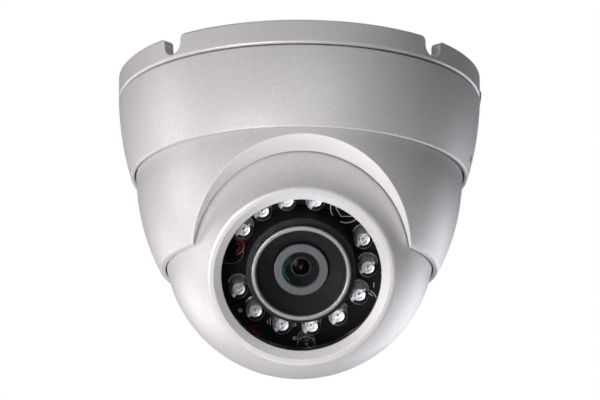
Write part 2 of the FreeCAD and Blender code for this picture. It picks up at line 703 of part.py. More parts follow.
def make_lens():
    hood_top = glass_front - glass_thick - 1.7
    rim_outer, rim_inner, rim_round = as_size(12.75), as_size(11.35), 0.5
    rim_top = glass_front - glass_thick - 0.1
    node("hood_rim", turned("hood_rim", [
        (rim_inner, hood_top), (rim_outer, hood_top), (rim_outer, rim_top - rim_round), Bend(rim_round),
        (rim_outer - rim_round, rim_top), (rim_inner + rim_round, rim_top), Bend(rim_round),
        (rim_inner, rim_top - rim_round)]), BALL)
    hood_bore = lens_radius + 0.3
    hood_foot, rim_seat = board_seat + 0.05, hood_top - 0.02
    node("lens_hood", turned("lens_hood", [
        (hood_bore, hood_foot), (hood_radius, hood_foot), (hood_radius, hood_top - 0.6),
        (rim_outer + 0.1, rim_seat), (rim_inner, rim_seat), (hood_bore, lens_face - 1.2)]), BALL)

    ring_back = lens_face - 0.95
    bore = lens_radius - 2.2
    pupil = as_size(2.5)
    node("lens_front_ring", turned("lens_front_ring", [
        (bore, ring_back), (lens_radius, ring_back), (lens_radius, lens_face - 0.3), Bend(0.3),
        (lens_radius - 0.3, lens_face), (bore + 0.25, lens_face), (bore, lens_face - 0.25)]), BALL)
    barrel_end = sensor_face + 8
    barrel_bore = as_size(3.0)
    barrel_top = ring_back - 0.02
    pupil_back = lens_face - 3.5
    node("lens_barrel", turned("lens_barrel", [
        (barrel_bore, barrel_end), (thread_radius, barrel_end), (thread_radius, board_seat),
        (lens_radius, board_seat), (lens_radius, barrel_top), (bore, barrel_top),
        (pupil, lens_face - 2.7), (pupil, pupil_back), (barrel_bore, pupil_back)]), BALL)
    front_half, front_rise = pupil - running, 0.45
    front_back, front_edge = pupil_back + running, pupil_back + 0.4
    node("front_element", turned("front_element", [
        (0, front_back), (front_half, front_back), (front_half, front_edge),
        cap(front_half, front_rise), (0, front_edge + front_rise)]), BALL)
    rear_half, rear_rise = barrel_bore - running, 0.4
    rear_back, rear_front = barrel_end + 0.3, barrel_end + 1.8
    node("rear_element", turned("rear_element", [
        (0, rear_back), cap(rear_half, rear_rise), (rear_half, rear_back + rear_rise),
        (rear_half, rear_front), (0, rear_front)]), BALL)


# ---------------------------------------------------------------- electronics

SLIDER_HALF_WIDTH = 4.0
SLIDER_LENGTH = 12.0
FILTER_HALF = (2.3, 2.5)
slider_bottom = sensor_face + 3.85
slider_top = slider_bottom + 1.1


def make_lens_holder():
    foot = block("holder_foot", -12, 12, -8, 8, sensor_face, sensor_face + 7)
    tube = drum("holder_tube", thread_radius + 2, sensor_face + 6, bracket_bottom - 0.5)
    bore = drum("holder_bore", thread_radius + 0.1, sensor_face + 6.5, bracket_bottom)
    light_path = drum("holder_light_path", 3.5, slider_bottom, sensor_face + 7)
    half_run = (SLIDER_LENGTH + filter_travel) / 2 + 0.15
    slot = block("holder_slot", -half_run, half_run, -SLIDER_HALF_WIDTH - 0.1, SLIDER_HALF_WIDTH + 0.1,
                 slider_bottom - 0.15, slider_top + 0.15)
    well = block("holder_well", -6, 6, -5, 5, sensor_face - 1, slider_bottom)
    solid = fused("holder_solid", foot, tube)
    node("lens_holder", cut("lens_holder", solid, bore, light_path, slot, well), BALL)
    coil = block("coil_body", -5, 5, 8.05, 11.5, sensor_face + 0.6, sensor_face + 5)
    node("ircut_coil", group("ircut_coil", coil), BALL)


def make_filter_slider():
    """A tray with an infrared-cut filter on the axis at rest and a clear one beside it."""
    half_width, half_height = FILTER_HALF
    right = SLIDER_LENGTH / 2 - filter_travel / 2
    tray = block("slider_tray", right - SLIDER_LENGTH, right, -SLIDER_HALF_WIDTH, SLIDER_HALF_WIDTH,
                 slider_bottom, slider_top)
    openings = []
    for name, x in (("ir_cut_filter", as_size(0)), ("clear_filter", -filter_travel)):
        sides = (x - half_width, x + half_width, -half_height, half_height)
        openings.append(block(name + "_opening", *sides, slider_bottom - 1, slider_top + 1))
        pane = block(name + "_pane", *sides, slider_bottom + 0.3, slider_bottom + 0.8)
        node(name, group(name, pane), BALL)
    node("ircut_slider", cut("ircut_slider", tray, *openings), BALL)


def corner_places(height):
    return [(standoff_offset * side, standoff_offset * end, height, 0)
            for side in (1, -1) for end in (1, -1)]


def make_boards():
    sensor_back = sensor_face - board_thick
    main_back = main_face - board_thick
    plate = block("sensor_plate", -15, 15, -15, 15, sensor_back, sensor_face)
    node("sensor_board", group("sensor_board", plate), BALL)
    chip = block("sensor_chip", -4, 4, -3.2, 3.2, sensor_face, sensor_face + 1.1)
    node("image_sensor", group("image_sensor", chip), BALL)
    disc = ring("main_board_disc", 0, column_circle - column_radius - 0.3, main_back, main_face)
    hole = drum("main_board_hole", 1.1, main_back - 1, main_face + 1)
    node("main_board", cut("main_board", disc, copies("main_board_holes", hole, corner_places(0))), BALL)
    chip = block("processor_chip", -6.5, 6.5, -6.5, 6.5, main_face, main_face + 1.3)
    node("processor", group("processor", chip), BALL)
    link = block("connector_body", -9, 9, 9, 12.5, main_face, sensor_back)
    node("board_connector", group("board_connector", link), BALL)

    long_post = hexagon("long_standoff", 2.2, sensor_face, bracket_bottom)
    short_post = cut("short_standoff", hexagon("short_standoff_blank", 2.2, main_face, sensor_back),
                     drum("short_standoff_bore", 1.05, main_face - 1, sensor_back - 0.8))
    posts = group("board_standoffs", copies("long_standoffs", long_post, corner_places(0)),
                  copies("short_standoffs", short_post, corner_places(0)))
    node("board_standoffs", posts, BALL)
    fastener = screw("board_screw", 1.9, 1.3, 1.0, 4.6)
    node("board_screws", copies("board_screws", fastener, corner_places(main_back)), BALL)


def make_board_bracket():
    """The plate that carries the lens, the lamp board and, on standoffs, both rear boards."""
    plate = ring("bracket_plate", lens_radius + 0.5, cavity - 0.2, bracket_bottom, board_seat - 0.02)
    pad = drum("bracket_pad", 1.85, bracket_bottom, board_bottom)
    places = [(*around(board_screw_circle, angle), 0, 0) for angle in LAMP_BOARD_SCREW_ANGLES]
    thread = drum("pad_thread", 0.85, bracket_bottom - 1, board_bottom + 1)
    clearance = columns("bracket_notches", column_radius + 0.3, bracket_bottom - 1, board_seat + 1)
    wire_slot = drum("bracket_wire_hole", 2.9, bracket_bottom - 1, board_seat + 1, *wire_hole)
    hole = drum("bracket_hole", 0.8, bracket_bottom - 1, board_seat + 1)
    screws_at = [(*around(bracket_screw_circle, angle), bracket_bottom, 0)
                 for angle in BRACKET_SCREW_ANGLES]
    holes = copies("bracket_holes", hole, [(x, y, 0, 0) for x, y, _, _ in screws_at])
    solid = fused("bracket_solid", plate, copies("bracket_pads", pad, places))
    node("board_bracket", cut("board_bracket", solid, clearance, wire_slot, holes,
                              copies("pad_threads", thread, places)), BALL)
    fastener = screw("bracket_screw", 1.3, 0.9, 0.65, 4.2)
    node("bracket_screws", copies("bracket_screws", fastener, screws_at), BALL)


# ---------------------------------------------------------------- build, check and write

for make in (make_mounting_base, make_trim_ring, make_lock_screws, make_base_pieces, make_turret_shell,
             make_trunnion_keepers, make_tilt_yoke, make_front_shell, make_rear_shell, make_cable_entry,
             make_window, make_lamp_board, make_lamps, make_lens, make_lens_holder, make_filter_slider,
             make_boards, make_board_bracket):
    make()
doc.recompute()

for obj in doc.Objects:
    if "Invalid" in obj.State or "Error" in obj.State:
        raise RuntimeError(f"{obj.Name} failed: {obj.State}")
for part in nodes:
    if part.Shape.isNull() or not part.Shape.isValid():
        raise RuntimeError(f"{part.Label} has no valid shape")

os.makedirs("parts", exist_ok=True)
for part in nodes:
    part.Shape.exportStep(f"parts/{part.Label}.step")
    box = part.Shape.optimalBoundingBox()
    print(f"{part.Label:22} {len(part.Shape.Solids):3} solids {part.Shape.Volume:10.1f} mm3 "
          f"z {box.ZMin:7.2f} to {box.ZMax:7.2f}")
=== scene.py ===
"""Studio scene of a ceiling turret camera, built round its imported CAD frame. Metres throughout."""
import json
import math
import random

import bmesh
import bpy
from mathutils import Matrix, Vector


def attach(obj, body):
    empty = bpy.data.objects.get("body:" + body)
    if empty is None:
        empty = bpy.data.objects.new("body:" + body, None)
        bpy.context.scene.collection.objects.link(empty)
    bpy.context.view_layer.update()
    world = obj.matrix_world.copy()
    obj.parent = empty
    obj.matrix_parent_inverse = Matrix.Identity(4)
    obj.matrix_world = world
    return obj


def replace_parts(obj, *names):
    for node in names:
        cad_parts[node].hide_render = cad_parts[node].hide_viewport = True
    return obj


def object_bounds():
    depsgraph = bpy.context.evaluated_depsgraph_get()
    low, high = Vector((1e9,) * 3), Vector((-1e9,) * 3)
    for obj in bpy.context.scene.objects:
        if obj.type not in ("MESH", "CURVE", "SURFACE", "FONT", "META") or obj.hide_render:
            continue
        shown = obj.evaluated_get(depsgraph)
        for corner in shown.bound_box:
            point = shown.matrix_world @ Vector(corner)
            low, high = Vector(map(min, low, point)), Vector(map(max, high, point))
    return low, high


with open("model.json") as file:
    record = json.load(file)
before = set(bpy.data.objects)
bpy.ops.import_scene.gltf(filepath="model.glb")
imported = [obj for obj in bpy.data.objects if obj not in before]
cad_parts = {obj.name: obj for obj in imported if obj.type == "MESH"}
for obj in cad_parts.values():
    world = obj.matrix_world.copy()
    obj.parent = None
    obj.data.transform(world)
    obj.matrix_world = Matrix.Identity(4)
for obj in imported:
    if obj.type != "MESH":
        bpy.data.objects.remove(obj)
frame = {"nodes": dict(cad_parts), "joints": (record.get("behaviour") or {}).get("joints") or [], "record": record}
cad_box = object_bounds()
nodes = frame["nodes"]
MM = 0.001
random.seed(7)


# ---------------------------------------------------------------- places taken from the frame

def ball_frame():
    """The ball's own frame: origin at its centre, Z out of the lens, X along the tilt axis."""
    joints = {joint["name"]: joint for joint in frame["joints"]}
    out = Vector(joints["roll"]["axis"]).normalized()
    across = Vector(joints["tilt"]["axis"]).normalized()
    up = out.cross(across)
    place = Matrix((across, up, out)).transposed().to_4x4()
    place.translation = Vector(joints["roll"]["pos_m"])
    return place


BALL = ball_frame()


def ball_points(node):
    """A node's points in the ball's frame."""
    back = BALL.inverted()
    return [back @ vertex.co for vertex in nodes[node].data.vertices]


def ball_span(node):
    """Lowest and highest point of a node along the optical axis."""
    heights = [point.z for point in ball_points(node)]
    return min(heights), max(heights)


def ball_radii(node):
    """Smallest and largest distance of a node's points from the optical axis."""
    radii = [point.to_2d().length for point in ball_points(node)]
    return min(radii), max(radii)


def island_centres(node):
    """Centre, in the ball's frame, of each separate solid of a node."""
    mesh = bmesh.new()
    mesh.from_mesh(nodes[node].data)
    bmesh.ops.remove_doubles(mesh, verts=mesh.verts, dist=1e-6)
    back = BALL.inverted()
    seen, centres = set(), []
    for start in mesh.verts:
        if start.index in seen:
            continue
        stack, island = [start], []
        seen.add(start.index)
        while stack:
            vertex = stack.pop()
            island.append(back @ vertex.co)
            for edge in vertex.link_edges:
                other = edge.other_vert(vertex)
                if other.index not in seen:
                    seen.add(other.index)
                    stack.append(other)
        low = Vector([min(point[axis] for point in island) for axis in range(3)])
        high = Vector([max(point[axis] for point in island) for axis in range(3)])
        centres.append((low + high) / 2)
    mesh.free()
    return sorted(centres, key=lambda centre: math.atan2(centre.x, centre.y))


# ---------------------------------------------------------------- material helpers

class Shader:
    """A node material being put together."""

    def __init__(self, name):
        self.height = None
        self.material = bpy.data.materials.new(name)
        self.material.use_nodes = True
        self.tree = self.material.node_tree
        self.tree.nodes.clear()
        self.output = self.add("ShaderNodeOutputMaterial")

    def add(self, kind, **settings):
        """A new node, with its properties and unlinked inputs set by name."""
        made = self.tree.nodes.new(kind)
        for name, value in settings.items():
            if hasattr(made, name):
                setattr(made, name, value)
            else:
                made.inputs[name.replace("_", " ")].default_value = value
        return made

    def link(self, source, target):
        self.tree.links.new(source, target)

    def coordinates(self):
        return self.add("ShaderNodeTexCoord").outputs["Object"]

    def ball_polar(self):
        """Distance from the optical axis and angle round it, for a piece of the ball.

        The height along that axis is kept in self.height.
        """
        mapping = self.add("ShaderNodeMapping", vector_type="TEXTURE")
        mapping.inputs["Location"].default_value = BALL.translation
        mapping.inputs["Rotation"].default_value = BALL.to_euler()
        self.link(self.coordinates(), mapping.inputs["Vector"])
        parts = self.add("ShaderNodeSeparateXYZ")
        self.link(mapping.outputs["Vector"], parts.inputs["Vector"])
        x, y = parts.outputs["X"], parts.outputs["Y"]
        self.height = parts.outputs["Z"]
        squares = self.math("ADD", self.math("MULTIPLY", x, x), self.math("MULTIPLY", y, y))
        return self.math("SQRT", squares), self.math("ARCTAN2", y, x)

    def math(self, operation, first, second=None):
        """The result of a calculation with numbers or sockets."""
        made = self.add("ShaderNodeMath", operation=operation)
        for socket, value in zip(made.inputs, (first, second)):
            if isinstance(value, bpy.types.NodeSocket):
                self.link(value, socket)
            elif value is not None:
                socket.default_value = value
        return made.outputs["Value"]

    def vector(self, operation, *values):
        """A vector operation's node; its outputs are Vector and Value."""
        made = self.add("ShaderNodeVectorMath", operation=operation)
        for socket, value in zip(made.inputs, values):
            if isinstance(value, bpy.types.NodeSocket):
                self.link(value, socket)
            else:
                socket.default_value = value
        return made

    def mix(self, factor, first, second):
        """Mix two shaders by a number or a socket."""
        made = self.add("ShaderNodeMixShader")
        if isinstance(factor, bpy.types.NodeSocket):
            self.link(factor, made.inputs["Fac"])
        else:
            made.inputs["Fac"].default_value = factor
        self.link(first, made.inputs[1])
        self.link(second, made.inputs[2])
        return made.outputs["Shader"]

    def plain(self, kind, colour, **settings):
        """A basic shader of one colour."""
        made = self.add(kind, **settings)
        made.inputs["Color"].default_value = rgba(colour)
        return made.outputs[0]

    def noise(self, scale, detail=2.0, roughness=0.5):
        texture = self.add("ShaderNodeTexNoise", Scale=scale, Detail=detail, Roughness=roughness)
        self.link(self.coordinates(), texture.inputs["Vector"])
        return texture.outputs["Fac"]

    def ramp(self, source, stops):
        """A colour ramp of (position, colour or grey) stops."""
        ramp = self.add("ShaderNodeValToRGB")
        self.link(source, ramp.inputs["Fac"])
        elements = ramp.color_ramp.elements
        while len(elements) < len(stops):
            elements.new(0.5)
        for element, (position, colour) in zip(elements, stops):
            element.position = position
            element.color = rgba(colour)
        return ramp.outputs["Color"]

    def bump(self, height, distance, strength=1.0, normal=None):
        """A normal roughened by a height."""
        bump = self.add("ShaderNodeBump", Strength=strength, Distance=distance)
        self.link(height, bump.inputs["Height"])
        if normal:
            self.link(normal, bump.inputs["Normal"])
        return bump.outputs["Normal"]

    def principled(self, **settings):
        """A principled surface whose inputs are given as sockets, numbers or colours."""
        made = self.add("ShaderNodeBsdfPrincipled")
        for name, value in settings.items():
            socket = made.inputs[name.replace("_", " ")]
            if isinstance(value, bpy.types.NodeSocket):
                self.link(value, socket)
            elif socket.type == "RGBA":
                socket.default_value = rgba(value)
            else:
                socket.default_value = value
        return made

    def finish(self, surface):
        self.link(surface, self.output.inputs["Surface"])
        return self.material


def rgba(colour):
    """A grey, an RGB or an RGBA colour as RGBA."""
    if isinstance(colour, (int, float)):
        colour = (colour, colour, colour)
    return (*colour, 1.0) if len(colour) == 3 else tuple(colour)


# ---------------------------------------------------------------- materials

PAINT_GRAIN = 3200.0
PAINT_RELIEF = 0.05 * MM
SOFT_EDGE = 0.35 * MM


def painted(shader):
    """Satin silver-white paint over die-cast metal: fine orange peel and bright flecks."""
    grain = shader.noise(PAINT_GRAIN, detail=3.0, roughness=0.65)
    cloud = shader.noise(60.0, detail=2.0)
    colour = shader.ramp(grain, [(0.30, (0.545, 0.535, 0.548)), (0.55, (0.635, 0.622, 0.634)),
                                 (0.72, (0.75, 0.738, 0.748))])
    tone = shader.ramp(cloud, [(0.3, 0.96), (0.7, 1.0)])
    mixed = shader.add("ShaderNodeMix", data_type="RGBA", blend_type="MULTIPLY")
    mixed.inputs["Factor"].default_value = 1.0
    shader.link(colour, mixed.inputs["A"])
    shader.link(tone, mixed.inputs["B"])
    roughness = shader.ramp(grain, [(0.35, 0.52), (0.7, 0.36)])
    soft_edge = shader.add("ShaderNodeBevel", samples=6, Radius=SOFT_EDGE)
    normal = shader.bump(grain, PAINT_RELIEF, 0.7, soft_edge.outputs["Normal"])
    paint = shader.principled(Base_Color=mixed.outputs["Result"], Roughness=roughness, Metallic=0.25,
                              Normal=normal, Specular_IOR_Level=0.5)
    return paint.outputs["BSDF"]


def powder_coat():
    """The plain painted finish of the castings."""
    shader = Shader("powder_coat")
    return shader.finish(painted(shader))


# the front shell is black behind this height on the optical axis and within this distance from it
BLACK_BEHIND = 24.02 * MM
BLACK_WITHIN = 24.65 * MM


def powder_coat_black_inside():
    """The front shell: painted outside, black wherever it faces the lamps."""
    shader = Shader("powder_coat_black_inside")
    radius, _ = shader.ball_polar()
    behind = shader.math("LESS_THAN", shader.height, BLACK_BEHIND)
    inner = shader.math("MULTIPLY", behind, shader.math("LESS_THAN", radius, BLACK_WITHIN))
    black = shader.principled(Base_Color=0.006, Roughness=0.7, Specular_IOR_Level=0.2)
    return shader.finish(shader.mix(inner, painted(shader), black.outputs["BSDF"]))


# the cone the turret's arch is cut to: a point and direction of its axis, its radius there, its slope and
# how far behind that point it reaches; the band of painted light goes a little deeper than the cone
ARCH_POINT = (0.0, -38 * MM, -60.9 * MM)
ARCH_DIP = math.radians(7.8)
ARCH_AXIS = (0.0, -math.cos(ARCH_DIP), -math.sin(ARCH_DIP))
ARCH_RADIUS = 32.6 * MM
ARCH_SLOPE = math.tan(math.radians(14.0))
ARCH_BACK = -30 * MM
PAINTED_LIGHT_DEPTH = 0.2 * MM


def powder_coat_painted_lit_arch():
    """The turret: painted, with a smoother band on the arch's cut face, lighter in colour as painted light."""
    shader = Shader("powder_coat_painted_lit_arch")
    offset = shader.vector("SUBTRACT", shader.coordinates(), ARCH_POINT).outputs["Vector"]
    along = shader.vector("DOT_PRODUCT", offset, ARCH_AXIS).outputs["Value"]
    across = shader.vector("CROSS_PRODUCT", offset, ARCH_AXIS).outputs["Vector"]
    distance = shader.vector("LENGTH", across).outputs["Value"]
    cone = shader.math("ADD", shader.math("MULTIPLY", along, ARCH_SLOPE), ARCH_RADIUS + PAINTED_LIGHT_DEPTH)
    inside = shader.math("LESS_THAN", distance, cone)
    painted_light_mask = shader.math("MULTIPLY", inside, shader.math("GREATER_THAN", along, ARCH_BACK))
    fine = shader.noise(5200.0, detail=2.0)
    # painted light: the band's colour is lighter than the paint so the arch face reads as brightly lit
    base = shader.ramp(fine, [(0.35, (0.72, 0.71, 0.715)), (0.65, (0.79, 0.78, 0.785))])
    painted_light_surface = shader.principled(Base_Color=base, Roughness=0.42,
                               Normal=shader.bump(fine, 0.01 * MM, 0.3))
    return shader.finish(shader.mix(painted_light_mask, painted(shader), painted_light_surface.outputs["BSDF"]))


def metal(name, colour, roughness, grain_scale=1500.0, grain_depth=0.01):
    """Bare or plated metal with fine machining grain."""
    shader = Shader(name)
    grain = shader.noise(grain_scale, detail=4.0)
    dark = tuple(channel * 0.82 for channel in rgba(colour)[:3])
    base = shader.ramp(grain, [(0.35, dark), (0.65, colour)])
    rough = shader.ramp(grain, [(0.3, roughness * 0.85), (0.7, roughness * 1.2)])
    made = shader.principled(Base_Color=base, Metallic=1.0, Roughness=rough,
                             Normal=shader.bump(grain, grain_depth * MM, 0.4))
    return shader.finish(made.outputs["BSDF"])


def moulded(name, colour, roughness, grain_scale=1800.0, grain_depth=0.02, specular=0.5):
    """Moulded plastic or rubber with a fine texture and slight colour variation."""
    shader = Shader(name)
    grain = shader.noise(grain_scale, detail=3.0)
    dark = tuple(channel * 0.8 for channel in rgba(colour)[:3])
    base = shader.ramp(grain, [(0.35, dark), (0.65, colour)])
    rough = shader.ramp(grain, [(0.3, min(roughness * 1.15, 1.0)), (0.7, roughness * 0.85)])
    made = shader.principled(Base_Color=base, Roughness=rough, Specular_IOR_Level=specular,
                             Normal=shader.bump(grain, grain_depth * MM, 0.6))
    return shader.finish(made.outputs["BSDF"])


# the hood's outer edge, which carries the ribs, starts at this radius and height
RIBS_BEYOND = 12.8 * MM
RIBS_ABOVE = 20.3 * MM
RIB_COUNT = 170.0


def ribbed_hood():
    """Black plastic: a coarse sparkling texture in the cone, fine ribs and more gloss on the outer edge."""
    shader = Shader("ribbed_hood")
    grain = shader.noise(2600.0, detail=2.0, roughness=0.7)
    base = shader.ramp(grain, [(0.50, 0.004), (0.64, 0.012), (0.78, 0.09)])
    rough = shader.ramp(grain, [(0.4, 0.75), (0.75, 0.45)])
    radius, angle = shader.ball_polar()
    outside = shader.math("GREATER_THAN", radius, RIBS_BEYOND)
    edge = shader.math("MULTIPLY", outside, shader.math("GREATER_THAN", shader.height, RIBS_ABOVE))
    wave = shader.math("SINE", shader.math("MULTIPLY", angle, RIB_COUNT))
    ribs = shader.math("MULTIPLY", wave, edge)
    ribbed = shader.bump(ribs, 0.08 * MM, 0.8)
    cone = shader.principled(Base_Color=base, Roughness=rough, Specular_IOR_Level=0.3,
                             Normal=shader.bump(grain, 0.05 * MM, 0.7))
    rim = shader.principled(Base_Color=0.02, Roughness=0.36, Specular_IOR_Level=0.9, Normal=ribbed)
    return shader.finish(shader.mix(edge, cone.outputs["BSDF"], rim.outputs["BSDF"]))


def clear_window():
    """Flat clear window: it lets everything through and mirrors a little, more at a glancing angle."""
    shader = Shader("clear_window")
    clear = shader.plain("ShaderNodeBsdfTransparent", (0.94, 0.95, 0.96))
    gloss = shader.add("ShaderNodeBsdfGlossy")
    smudge = shader.noise(90.0, detail=3.0)
    shader.link(shader.ramp(smudge, [(0.4, 0.02), (0.7, 0.07)]), gloss.inputs["Roughness"])
    fresnel = shader.add("ShaderNodeFresnel", IOR=1.28).outputs["Fac"]
    leaving = shader.add("ShaderNodeNewGeometry").outputs["Backfacing"]
    mirror = shader.math("MULTIPLY", fresnel, shader.math("SUBTRACT", 1.0, leaving))
    return shader.finish(shader.mix(mirror, clear, gloss.outputs["BSDF"]))


def clear_epoxy(name, tint, edge_glow=0.3):
    """Cast clear resin that refracts, lets lamps light what is inside it, and is cloudy at its edge."""
    shader = Shader(name)
    glass = shader.principled(Base_Color=tint, Roughness=0.02, IOR=1.48, Transmission_Weight=1.0)
    ripple = shader.noise(500.0, detail=1.0)
    shader.link(shader.bump(ripple, 0.03 * MM, 0.3), glass.inputs["Normal"])
    clear = shader.plain("ShaderNodeBsdfTransparent", tint)
    path = shader.add("ShaderNodeLightPath")
    body = shader.mix(path.outputs["Is Shadow Ray"], glass.outputs["BSDF"], clear)
    haze = shader.plain("ShaderNodeBsdfDiffuse", 0.75)
    facing = shader.add("ShaderNodeLayerWeight", Blend=0.5).outputs["Facing"]
    cloudy = shader.math("MULTIPLY", shader.math("POWER", facing, 4.0), edge_glow)
    return shader.finish(shader.mix(cloudy, body, haze))


def coated_lens(name, tint, strength, roughness=0.03):
    """A coated lens surface: mostly clear, with a tinted reflection."""
    shader = Shader(name)
    clear = shader.plain("ShaderNodeBsdfTransparent", 0.97)
    gloss = shader.plain("ShaderNodeBsdfGlossy", tint, Roughness=roughness)
    dust = shader.noise(1200.0, detail=1.0)
    amount = shader.ramp(dust, [(0.4, strength * 0.85), (0.7, strength)])
    return shader.finish(shader.mix(amount, clear, gloss))


def circuit_board(name, colour, roughness=0.45, shine=0.3):
    """Solder mask over faint copper tracks."""
    shader = Shader(name)
    tracks = shader.add("ShaderNodeTexBrick", Scale=420.0, Mortar_Size=0.012, Bias=-0.2)
    shader.link(shader.coordinates(), tracks.inputs["Vector"])
    lighter = tuple(min(channel * 1.7 + 0.003, 1.0) for channel in colour)
    base = shader.ramp(tracks.outputs["Fac"], [(0.2, colour), (0.9, lighter)])
    weave = shader.noise(1400.0, detail=2.0)
    made = shader.principled(Base_Color=base, Roughness=roughness, Specular_IOR_Level=shine,
                             Normal=shader.bump(weave, 0.004 * MM, 0.4))
    return shader.finish(made.outputs["BSDF"])


def glowing_ink_or_glint(name, colour, glow=0.0):
    """Screen-printed ink, a little patchy, or a painted glint; its glow is painted light that keeps it legible
    deep behind the window.
    """
    shader = Shader(name)
    patchy = shader.noise(4000.0, detail=2.0)
    dark = tuple(channel * 0.6 for channel in rgba(colour)[:3])
    base = shader.ramp(patchy, [(0.3, dark), (0.6, colour)])
    made = shader.principled(Base_Color=base, Roughness=0.6, Emission_Color=base, Emission_Strength=glow)
    return shader.finish(made.outputs["BSDF"])


def silvered(name):
    """Silver plating bright from every side: part mirror, part matt."""
    shader = Shader(name)
    grain = shader.noise(2500.0, detail=3.0)
    base = shader.ramp(grain, [(0.35, 0.72), (0.65, 0.95)])
    made = shader.principled(Base_Color=base, Metallic=0.45, Roughness=0.35,
                             Normal=shader.bump(grain, 0.03 * MM, 0.5))
    return shader.finish(made.outputs["BSDF"])


PAINT = powder_coat()
EPOXY = clear_epoxy("clear_epoxy", (0.97, 0.97, 0.98), 0.75)
SENSOR_EPOXY = clear_epoxy("sensor_epoxy", (0.93, 0.88, 0.82), 1.0)
CUP_SILVER = silvered("cup_silver")
GOLD = metal("bond_gold", (0.9, 0.7, 0.35), 0.25)
BRONZE = metal("dark_bronze", (0.22, 0.17, 0.13), 0.35)
# every ink glows faintly, painted light that keeps the print legible; LAMP_GLINT and TEAL_GLINT are painted glints
GLOWING_INK_WHITE = glowing_ink_or_glint("ink_white", (0.8, 0.8, 0.8), 0.22)
GLOWING_INK_GREY = glowing_ink_or_glint("ink_grey", (0.12, 0.12, 0.13), 0.15)
GLOWING_INK_RED = glowing_ink_or_glint("ink_red", (0.25, 0.02, 0.03), 0.12)
LAMP_GLINT = glowing_ink_or_glint("lamp_glint", (0.7, 0.7, 0.7), 0.16)
TEAL_GLINT = glowing_ink_or_glint("teal_glint", (0.01, 0.2, 0.16), 0.3)
SLOT_LOOKS = {
    "shell_paint": PAINT,
    "steel": metal("plated_steel", (0.62, 0.62, 0.64), 0.3),
    "nylon": moulded("natural_nylon", (0.74, 0.72, 0.66), 0.45),
    "rubber": moulded("black_rubber", (0.02, 0.02, 0.02), 0.7),
    "cable_jacket": moulded("cable_jacket", (0.6, 0.6, 0.59), 0.45),
    "bracket_metal": PAINT,
    "connector_plastic": moulded("connector_plastic", (0.72, 0.7, 0.62), 0.4),
    "window_glass": clear_window(),
    "black_plastic": moulded("black_satin", 0.014, 0.42),
    "lamp_board": circuit_board("black_board", (0.006, 0.006, 0.007), 0.5, 0.2),
    "lamp_epoxy": EPOXY,
    "red_wire": moulded("red_wire_jacket", (0.3, 0.02, 0.018), 0.35),
    "black_wire": moulded("black_wire_jacket", (0.02, 0.015, 0.03), 0.35),
    "rim_metal": metal("rim_satin", (0.42, 0.42, 0.415), 0.48, 3000.0, 0.03),
    "lens_ring": moulded("lens_ring_satin", (0.15, 0.15, 0.155), 0.45, 3000.0, 0.008, 0.4),
    "black_metal": moulded("black_anodised", (0.008, 0.008, 0.008), 0.6, specular=0.25),
    "lens_glass": coated_lens("lens_glass", (0.75, 0.66, 0.6), 0.012),
    "copper": metal("copper_winding", (0.75, 0.35, 0.18), 0.35),
    "filter_glass": coated_lens("filter_glass", (0.4, 0.8, 0.9), 0.2),
    "circuit_board": circuit_board("green_board", (0.02, 0.14, 0.06)),
    "chip": moulded("chip_black", (0.03, 0.03, 0.032), 0.5),
    "brass": metal("brass_plain", (0.75, 0.58, 0.28), 0.3),
}


def dress_cad_nodes():
    """Every CAD node gets the look of its slot, and three of them one of their own."""
    for part in frame["record"]["subparts"]:
        mesh = nodes[part["node"]].data
        mesh.materials.clear()
        mesh.materials.append(SLOT_LOOKS[part["material_slot"]])
    nodes["lens_hood"].data.materials[0] = ribbed_hood()
    nodes["front_shell"].data.materials[0] = powder_coat_black_inside()
    nodes["turret_shell"].data.materials[0] = powder_coat_painted_lit_arch()


# ---------------------------------------------------------------- mesh helpers

def piece(name, mesh, look, body, sharp_angle=35.0):
    """Turn a bmesh in the row frame into a smooth-shaded piece that rides on a body."""
    data = bpy.data.meshes.new(name)
    bmesh.ops.remove_doubles(mesh, verts=mesh.verts, dist=1e-7)
    bmesh.ops.recalc_face_normals(mesh, faces=mesh.faces)
    mesh.to_mesh(data)
    mesh.free()
    data.shade_smooth()
    data.set_sharp_from_angle(angle=math.radians(sharp_angle))
    data.materials.append(look)
    made = bpy.data.objects.new(name, data)
    bpy.context.scene.collection.objects.link(made)
    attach(made, body)
    return made


def circle_points(radius, steps, height=0.0):
    """Even points of a circle about Z."""
    angles = [2 * math.pi * step / steps for step in range(steps)]
    return [Vector((radius * math.cos(a), radius * math.sin(a), height)) for a in angles]


def arc_points(radius, height, start, end, steps):
    """Points of an arc about Z, both ends included, angles in degrees."""
    angles = [math.radians(start + (end - start) * step / steps) for step in range(steps + 1)]
    return [Vector((radius * math.cos(a), radius * math.sin(a), height)) for a in angles]


def lathe(mesh, profile, place, segments=48):
    """Revolve (radius, height) points about Z of a place. A radius of zero closes the end."""
    rings = []
    for radius, height in profile:
        if radius < 1e-9:
            circle = [Vector((0, 0, height))]
        else:
            circle = circle_points(radius, segments, height)
        rings.append([mesh.verts.new(place @ point) for point in circle])
    for low, high in zip(rings, rings[1:]):
        for step in range(segments):
            following = (step + 1) % segments
            if len(low) == 1 and len(high) == 1:
                continue
            if len(low) == 1:
                mesh.faces.new((low[0], high[step], high[following]))
            elif len(high) == 1:
                mesh.faces.new((low[step], low[following], high[0]))
            else:
                mesh.faces.new((low[step], low[following], high[following], high[step]))


def arc(centre_radius, centre_height, radius, start, end, steps):
    """Points of an arc in the (radius, height) plane, angles in degrees."""
    angles = [math.radians(start + (end - start) * step / steps) for step in range(steps + 1)]
    return [(centre_radius + radius * math.cos(a), centre_height + radius * math.sin(a)) for a in angles]


def closed_bead(mesh, place, radius, height, thickness):
    """A thin round wire bent to a full circle."""
    lathe(mesh, arc(radius, height, thickness, 0, 360, 6), place, 40)


